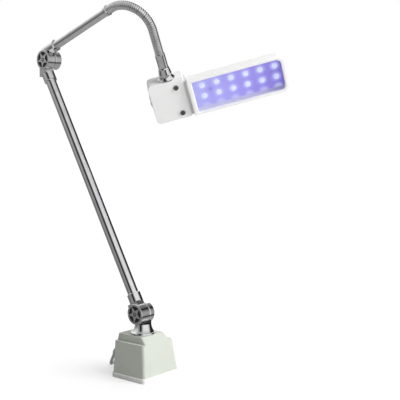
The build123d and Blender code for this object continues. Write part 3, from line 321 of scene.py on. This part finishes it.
class Look(Tree):
    """One material around a Principled shader, with short ways to add texture to it."""

    def __init__(self, name, base, roughness, metallic=0.0):
        self.material = bpy.data.materials.new(name)
        self.material.use_nodes = True
        super().__init__(self.material.node_tree)
        self.shader = self.tree.nodes["Principled BSDF"]
        self.set("Base Color", (*base, 1))
        self.set("Roughness", roughness)
        self.set("Metallic", metallic)
        self.place = self.node("ShaderNodeTexCoord").outputs["Object"]

    def set(self, socket, value):
        """Gives one socket of the shader a constant value."""
        self.shader.inputs[socket].default_value = value

    def feed(self, socket, source):
        """Connects a node's output to one socket of the shader."""
        self.tree.links.new(source, self.shader.inputs[socket])

    def noise(self, size, detail=3.0, place=None):
        """Soft random spots about size millimetres wide, from 0 to 1."""
        return self.node(
            "ShaderNodeTexNoise",
            [("Vector", place or self.place), ("Scale", 1 / (size * MM)), ("Detail", detail)],
        ).outputs["Fac"]

    def waves(self, pitch, direction, distortion):
        """Bands across one axis, pitch millimetres apart, from 0 to 1."""
        links = [
            ("Vector", self.place),
            ("Scale", BAND_LENGTH / (pitch * MM)),
            ("Distortion", distortion),
        ]
        made = self.node("ShaderNodeTexWave", links, bands_direction=direction)
        return made.outputs["Fac"]

    def mix(self, share, first, second):
        """A colour between two, by share."""
        made = self.node("ShaderNodeMix", data_type="RGBA")
        for name, value in (("Factor", share), ("A", first), ("B", second)):
            kind = "VALUE" if name == "Factor" else "RGBA"
            socket = next(s for s in made.inputs if s.name == name and s.type == kind)
            if isinstance(value, bpy.types.NodeSocket):
                self.tree.links.new(value, socket)
            else:
                socket.default_value = (*value, 1) if kind == "RGBA" else value
        return next(s for s in made.outputs if s.type == "RGBA")

    def along(self, direction, origin):
        """How far, in millimetres, a point lies along a direction from an origin."""
        shifted = self.node(
            "ShaderNodeVectorMath",
            [(0, self.place), (1, tuple(origin * MM))],
            operation="SUBTRACT",
        ).outputs["Vector"]
        return self.node(
            "ShaderNodeVectorMath",
            [(0, shifted), (1, tuple(direction / MM))],
            operation="DOT_PRODUCT",
        ).outputs["Value"]

    def bump(self, height, depth):
        """Raises the surface by depth millimetres where height is 1."""
        made = self.node("ShaderNodeBump", [("Height", height), ("Distance", depth * MM)])
        self.feed("Normal", made.outputs["Normal"])


def dress(look, *names):
    """Gives CAD nodes a material."""
    for name in names:
        for material_slot in nodes[name].material_slots:
            material_slot.material = look.material


def dress_piece(look, piece):
    """Gives a piece made here a material."""
    piece.data.materials.append(look.material)


# ---------------------------------------------------------------- metals
PLATING = colour(226, 226, 228)


def chrome_look():
    """Bright plating: almost a mirror, with faint handling marks that dull it in places."""
    look = Look("chrome", PLATING, 0.06, 1.0)
    marks = look.noise(14.0, 5.0)
    look.feed("Roughness", look.spread(marks, 0.03, 0.11, 0.35, 0.75))
    tint = look.mix(look.spread(marks, 0.0, 1.0), colour(231, 231, 233), colour(214, 214, 213))
    look.feed("Base Color", tint)
    look.bump(look.noise(7.0, 1.0), 0.003)
    return look


ELBOW_MIDDLE = -7.3
COVER_REACH = 14.1
POCKET_DEPTH = 1.5


def star_look():
    """The elbow caps' plating, with painted shade at the bottom of the pockets between the arms."""
    look = Look("star_caps", PLATING, 0.08, 1.0)
    middle = Vector((ELBOW_MIDDLE, 0, 0))
    reach = look.math("ABSOLUTE", look.along(Vector((1, 0, 0)), middle))
    pocket_floor = COVER_REACH - POCKET_DEPTH
    # the pockets' floors get a dark colour: painted shade of the recesses between the arms
    painted_pocket_shade = look.spread(reach, 1.0, 0.0, pocket_floor + 0.3, COVER_REACH - 0.4)
    shade = look.mix(look.noise(1.5), colour(34, 34, 35), colour(58, 58, 58))
    look.feed("Base Color", look.mix(painted_pocket_shade, PLATING, shade))
    look.feed("Metallic", look.spread(painted_pocket_shade, 1.0, 0.2, 0.0, 1.0))
    look.feed("Roughness", look.spread(painted_pocket_shade, 0.08, 0.4, 0.0, 1.0))
    return look


def zinc_look():
    """Plated steel screws and nuts: dull, fine-grained and a little stained."""
    look = Look("zinc_steel", colour(150, 150, 152), 0.35, 1.0)
    grain = look.noise(0.5, 4.0)
    stains = look.noise(2.5, 3.0)
    look.feed("Roughness", look.spread(grain, 0.22, 0.5))
    look.feed("Base Color", look.mix(stains, colour(150, 150, 152), colour(96, 95, 94)))
    look.bump(grain, 0.01)
    return look


def aluminium_look():
    """Mill-finish plate with its rolling lines along the head."""
    look = Look("aluminium", colour(176, 177, 180), 0.4, 1.0)
    lines = look.node(
        "ShaderNodeMapping", [("Vector", look.place), ("Scale", (1, 1, 14))]
    ).outputs["Vector"]
    grain = look.noise(6.0, 5.0, lines)
    look.feed("Roughness", look.spread(grain, 0.3, 0.5))
    look.bump(grain, 0.01)
    return look


def copper_look():
    """Layers of enamelled wire, seen as fine ridges one above the other, with painted shade between
    the wires and a painted highlight on each crown.
    """
    look = Look("copper_wire", colour(150, 78, 42), 0.3, 0.9)
    wires = look.waves(0.8, "Z", 0.4)
    # dark between the wires and light on their crowns: painted shade and highlight that follow the
    # ridges
    look.feed("Base Color", look.mix(wires, colour(92, 42, 20), colour(186, 104, 58)))
    look.bump(wires, 0.2)
    return look


# ---------------------------------------------------------------- plastics, paint and rubber
def moulded_look(name, light, dark, roughness, grain_size, grain_depth):
    """Moulded plastic: a fine even grain and slow shifts of tone and gloss."""
    look = Look(name, light, roughness)
    tone = look.noise(38.0, 3.0)
    look.feed("Base Color", look.mix(look.spread(tone, 0.0, 1.0), light, dark))
    look.feed("Roughness", look.spread(tone, roughness - 0.06, roughness + 0.06))
    look.bump(look.noise(grain_size), grain_depth)
    return look


def enamel_look(name, light, dark, roughness):
    """A smooth glossy coat with faint orange peel and patches that are rubbed a little duller."""
    look = Look(name, light, roughness)
    tone = look.noise(60.0, 2.0)
    rubbed = look.noise(9.0, 5.0)
    look.feed("Base Color", look.mix(look.spread(tone, 0.0, 1.0), light, dark))
    look.feed("Roughness", look.spread(rubbed, roughness - 0.03, roughness + 0.03))
    look.set("Coat Weight", 0.2)
    look.set("Coat Roughness", 0.12)
    look.bump(look.noise(2.5, 1.0), 0.001)
    return look


def core_look():
    """The transformer's stack of varnished steel sheets, as thin lines across the stack."""
    look = Look("laminations", colour(38, 38, 40), 0.45, 0.3)
    sheets = look.waves(1.0, "Y", 0.2)
    look.feed("Base Color", look.mix(sheets, colour(20, 20, 21), colour(62, 60, 58)))
    look.bump(sheets, 0.12)
    return look


def board_look():
    """A green circuit board with darker copper tracks under its coat."""
    look = Look("driver_board", colour(18, 92, 48), 0.35)
    tracks = look.node(
        "ShaderNodeTexBrick",
        [
            ("Vector", look.place),
            ("Scale", 1 / (5 * MM)),
            ("Color1", (*colour(16, 88, 44), 1)),
            ("Color2", (*colour(22, 104, 56), 1)),
            ("Mortar", (*colour(10, 58, 30), 1)),
        ],
    ).outputs["Color"]
    look.feed("Base Color", tracks)
    look.feed("Roughness", look.spread(look.noise(3.0), 0.25, 0.45))
    return look


# ---------------------------------------------------------------- the lit head
head_origin = Vector(joints["head_swivel"]["pos_m"]) / MM
head_up = -Vector(joints["head_swivel"]["axis"])
head_back = Vector(joints["rocker_switch"]["axis"])
head_along = head_back.cross(head_up)
LAMP_START = 29.3
LAMP_END = 195.3
FIRST_LED_X = 53.5
FIRST_LED_Z = -48.15
LED_PITCH_X = 24.9
LED_PITCH_Z = 19.8


def led_halo(look):
    """How near a point of the board lies to an LED: 1 beside one, falling to 0 between them."""
    across = look.along(head_along, head_origin + head_along * FIRST_LED_X)
    upward = look.along(head_up, head_origin + head_up * FIRST_LED_Z)
    x = look.math("WRAP", across, LED_PITCH_X / 2, -LED_PITCH_X / 2)
    z = look.math("WRAP", upward, LED_PITCH_Z / 2, -LED_PITCH_Z / 2)
    squares = look.math("ADD", look.math("MULTIPLY", x, x), look.math("MULTIPLY", z, z))
    return look.spread(look.math("SQRT", squares), 0.0, 1.0, 10.0, 4.0)


def lit_board_look():
    """The LED board, with the LEDs' violet light painted on as a glow that fades along the head and
    gathers at the LEDs.
    """
    look = Look("lit_board", colour(70, 62, 130), 0.45)
    along = look.spread(look.along(head_along, head_origin), 0.0, 1.0, LAMP_START, LAMP_END)
    # painted light: the glow runs from pale to deep violet along the head
    flood = look.ramp(along, [
        (0.0, colour(186, 192, 236)),
        (0.2, colour(172, 170, 238)),
        (0.55, colour(154, 142, 232)),
        (0.85, colour(124, 108, 212)),
        (1.0, colour(92, 76, 184)),
    ])
    # patches of painted shade over the glow
    painted_shade_patches = look.spread(look.noise(30.0, 2.0), 0.0, 0.2)
    shaded = look.mix(painted_shade_patches, flood, colour(82, 66, 190))
    # a painted pool of light around each LED
    halo = look.math("MULTIPLY", led_halo(look), 0.8)
    look.feed("Emission Color", look.mix(halo, shaded, colour(206, 208, 246)))
    look.set("Emission Strength", 0.85)
    look.feed("Roughness", look.spread(look.noise(4.0), 0.35, 0.55))
    return look


def led_look():
    """The LED lenses: almost white where they shine."""
    look = Look("led_lens", colour(190, 190, 245), 0.2)
    look.set("Emission Color", (*colour(196, 212, 238), 1))
    look.set("Emission Strength", 0.65)
    look.feed("Roughness", look.spread(look.noise(0.6), 0.15, 0.3))
    return look


def lit_screw_look():
    """The board's screws: zinc with the LEDs' violet light painted on, as a violet colour and a glow.
    """
    # the violet colour is painted light from the LEDs
    look = Look("lit_screws", colour(120, 112, 190), 0.4, 0.4)
    grain = look.noise(0.5, 4.0)
    look.feed("Roughness", look.spread(grain, 0.3, 0.5))
    # a painted glow, though the screws give no light
    look.set("Emission Color", (*colour(112, 98, 196), 1))
    look.set("Emission Strength", 0.5)
    return look


def window_look():
    """The clear cover, with faint dust and rub marks that catch the light."""
    look = Look("window", colour(205, 205, 250), 0.06)
    look.feed("Roughness", look.spread(look.noise(12.0, 6.0), 0.03, 0.14))
    look.set("IOR", 1.45)
    look.set("Alpha", 0.1)
    return look


# ---------------------------------------------------------------- dressing the nodes
chrome = chrome_look()
zinc = zinc_look()
plate_enamel = enamel_look("plate_enamel", colour(240, 240, 238), colour(232, 232, 229), 0.35)
head_enamel = enamel_look("head_enamel", colour(236, 236, 235), colour(234, 234, 233), 0.3)
housing_plastic = moulded_look(
    "housing_plastic", colour(192, 197, 187), colour(188, 193, 183), 0.5, 0.55, 0.012
)
dark_plastic = moulded_look("dark_plastic", colour(38, 38, 40), colour(30, 30, 31), 0.45, 0.4, 0.02)
pale_plastic = moulded_look(
    "pale_plastic", colour(196, 197, 196), colour(186, 187, 186), 0.4, 0.4, 0.012
)
cord_plastic = moulded_look(
    "cord_plastic", colour(190, 191, 190), colour(178, 180, 178), 0.45, 0.7, 0.015
)
gasket = moulded_look("gasket_rubber", colour(206, 206, 206), colour(190, 190, 190), 0.6, 0.8, 0.03)

dress(
    chrome,
    "swivel_foot", "lower_arm_knuckle", "lower_arm_tube", "upper_elbow_knuckle",
    "upper_arm_knuckle", "upper_arm_tube", "neck_base_collar", "neck_ferrule", "neck_bell",
    "lower_arm_set_screws", "upper_arm_set_screw", "plug_pins",
)
dress(
    star_look(),
    "lower_elbow_star_cap", "lower_elbow_back_cap", "upper_elbow_star_cap", "upper_elbow_back_cap",
)
dress(
    zinc,
    "housing_screws", "transformer_strap", "strap_screws", "foot_stem", "foot_nut",
    "lower_elbow_bolt", "lower_elbow_nut", "upper_elbow_bolt", "upper_elbow_nut",
    "head_nipple", "head_nut", "cover_screws",
)
dress(plate_enamel, "base_plate")
dress(housing_plastic, "base_housing")
dress(head_enamel, "switch_box", "switch_cover", "lamp_housing", "window_frame")
dress(dark_plastic, "transformer_bobbin", "cord_tie")
dress(pale_plastic, "switch_body", "rocker")
dress(cord_plastic, "cord_gland", "mains_plug")
dress(gasket, "head_gasket")
dress(core_look(), "transformer_core")
dress(copper_look(), "transformer_winding")
dress(board_look(), "driver_board")
dress(aluminium_look(), "heat_spreader")
dress(lit_board_look(), "led_board")
dress(led_look(), "leds")
dress(lit_screw_look(), "board_screws")
dress(window_look(), "lamp_window")
dress_piece(cord_plastic, cord)
for piece in hose:
    dress_piece(chrome, piece)


# ---------------------------------------------------------------- studio
FLOOR_HALF = 30
FADE_FROM = 0.06
FADE_TO = 0.26
LEAST_FADE = 0.55


def make_floor():
    """A wide pale floor, which fades into plain white away from the lamp.

    Chrome looks through it to the studio's own table, so that it mirrors the same walls all round."""
    mesh = bpy.data.meshes.new("floor")
    corners = [(x * FLOOR_HALF, y * FLOOR_HALF, 0) for x, y in ((-1, -1), (1, -1), (1, 1), (-1, 1))]
    mesh.from_pydata(corners, [], [(0, 1, 2, 3)])
    floor = bpy.data.objects.new("floor", mesh)
    bpy.context.scene.collection.objects.link(floor)
    look = Look("floor", colour(240, 240, 240), 0.7)
    away = look.node("ShaderNodeVectorMath", [(0, look.place)], operation="LENGTH").outputs["Value"]
    rays = look.node("ShaderNodeLightPath").outputs
    whiter = look.spread(away, LEAST_FADE, 1.0, FADE_FROM, FADE_TO)
    fade = look.math("MULTIPLY", whiter, rays["Is Camera Ray"])
    tone = look.mix(look.noise(400.0), colour(241, 241, 241), colour(237, 237, 238))
    look.feed("Base Color", look.mix(fade, tone, (0, 0, 0)))
    look.set("Emission Color", (1, 1, 1, 1))
    look.feed("Emission Strength", fade)
    look.set("Specular IOR Level", 0.2)
    clear = look.node("ShaderNodeBsdfTransparent").outputs[0]
    parts = [(0, rays["Is Glossy Ray"]), (1, look.shader.outputs[0]), (2, clear)]
    seen = look.node("ShaderNodeMixShader", parts)
    surface = look.tree.nodes["Material Output"].inputs["Surface"]
    look.tree.links.new(seen.outputs[0], surface)
    floor.data.materials.append(look.material)


KEY_PLACE = (0.45, -1.6, 1.45)
KEY_TARGET = (0.0, 0.0, 0.25)
KEY_SIZE = 1.4
KEY_POWER = 54


def make_key():
    """One soft square light, high in front of the lamp; chrome does not mirror it."""
    data = bpy.data.lights.new("key", "AREA")
    data.shape = "RECTANGLE"
    data.size = KEY_SIZE
    data.size_y = KEY_SIZE
    data.energy = KEY_POWER
    light = bpy.data.objects.new("key", data)
    aim = (Vector(KEY_TARGET) - Vector(KEY_PLACE)).to_track_quat("-Z", "Y")
    light.matrix_world = Matrix.Translation(KEY_PLACE) @ aim.to_matrix().to_4x4()
    light.visible_glossy = False
    bpy.context.scene.collection.objects.link(light)


# how bright the walls are that the chrome mirrors, by bearing as a share of a whole turn:
# 0 and 1 are -Y, a quarter is -X, a half +Y, three quarters +X
STUDIO_WALLS = [
    (0.00, 1.00), (0.12, 1.00), (0.145, 0.60), (0.185, 0.12), (0.205, 0.01), (0.238, 0.01),
    (0.262, 0.26), (0.33, 0.34), (0.40, 0.16), (0.46, 0.30), (0.53, 0.40), (0.59, 0.80),
    (0.62, 1.00), (0.665, 1.00), (0.70, 0.15), (0.76, 0.02), (0.85, 0.02), (0.885, 0.50),
    (0.94, 1.00), (1.00, 1.00),
]
BACK_GLOW = 0.8
CEILING = 0.6
TABLE_EDGE = 0.01
TABLE = 0.4

# how bright the room is that lights everything else
LEFT_SKY = 0.03
RIGHT_SKY = 0.5
TOP_SKY = 0.35

# where one light gives way to the next, each a start and an end along one axis of a ray's direction
GLOW_ALONG_Y = (0.2, 0.75)
GLOW_ALONG_Z = (-0.05, 0.5)
WALLS_TO_CEILING_Z = (0.6, 0.95)
WALLS_TO_TABLE_Z = (-0.3, -0.4)
TABLE_EDGE_TO_MIDDLE_Z = (-0.42, -0.6)
SKY_LEFT_TO_RIGHT_X = (-0.8, 0.5)
SKY_TOP_Z = (0.3, 1.0)


def make_world():
    """A white studio: plain white to look at, with darker walls for the chrome to mirror.

    x, y and z are those of the ray's direction, so z is 0 at the horizon and 1 straight up."""
    world = bpy.data.worlds.new("studio")
    bpy.context.scene.world = world
    world.use_nodes = True
    world.node_tree.nodes.clear()
    studio = Tree(world.node_tree)

    def background(strength):
        """White light of a strength, which may come from a node."""
        links = [("Color", (1, 1, 1, 1)), ("Strength", strength)]
        return studio.node("ShaderNodeBackground", links).outputs[0]

    def either(share, first, second):
        """Two lights mixed by share."""
        links = [(0, share), (1, first), (2, second)]
        return studio.node("ShaderNodeMixShader", links).outputs[0]

    direction = studio.node("ShaderNodeTexCoord").outputs["Generated"]
    x, y, z = studio.node("ShaderNodeSeparateXYZ", [(0, direction)]).outputs
    bearing = studio.math("ARCTAN2", x, y)
    turn = studio.spread(bearing, 0, 1, -math.pi, math.pi)
    walls = studio.ramp(turn, [(at, (level, level, level)) for at, level in STUDIO_WALLS])
    backwards = studio.spread(y, 0, BACK_GLOW, *GLOW_ALONG_Y)
    glow = studio.math("MULTIPLY", backwards, studio.spread(z, 0, 1, *GLOW_ALONG_Z))
    around = background(studio.math("ADD", walls, glow))
    over = either(studio.spread(z, 0, 1, *WALLS_TO_CEILING_Z), around, background(CEILING))
    table = background(studio.spread(z, TABLE_EDGE, TABLE, *TABLE_EDGE_TO_MIDDLE_Z))
    mirrored = either(studio.spread(z, 0, 1, *WALLS_TO_TABLE_Z), over, table)
    overhead = studio.spread(z, 0, TOP_SKY, *SKY_TOP_Z)
    sideways = studio.spread(x, LEFT_SKY, RIGHT_SKY, *SKY_LEFT_TO_RIGHT_X)
    sky = background(studio.math("ADD", sideways, overhead))
    rays = studio.node("ShaderNodeLightPath").outputs
    lit = either(rays["Is Glossy Ray"], sky, mirrored)
    seen = either(rays["Is Camera Ray"], lit, background(1.0))
    studio.node("ShaderNodeOutputWorld", [("Surface", seen)])


make_floor()
make_world()
make_key()
bpy.context.scene.view_settings.view_transform = "Standard"
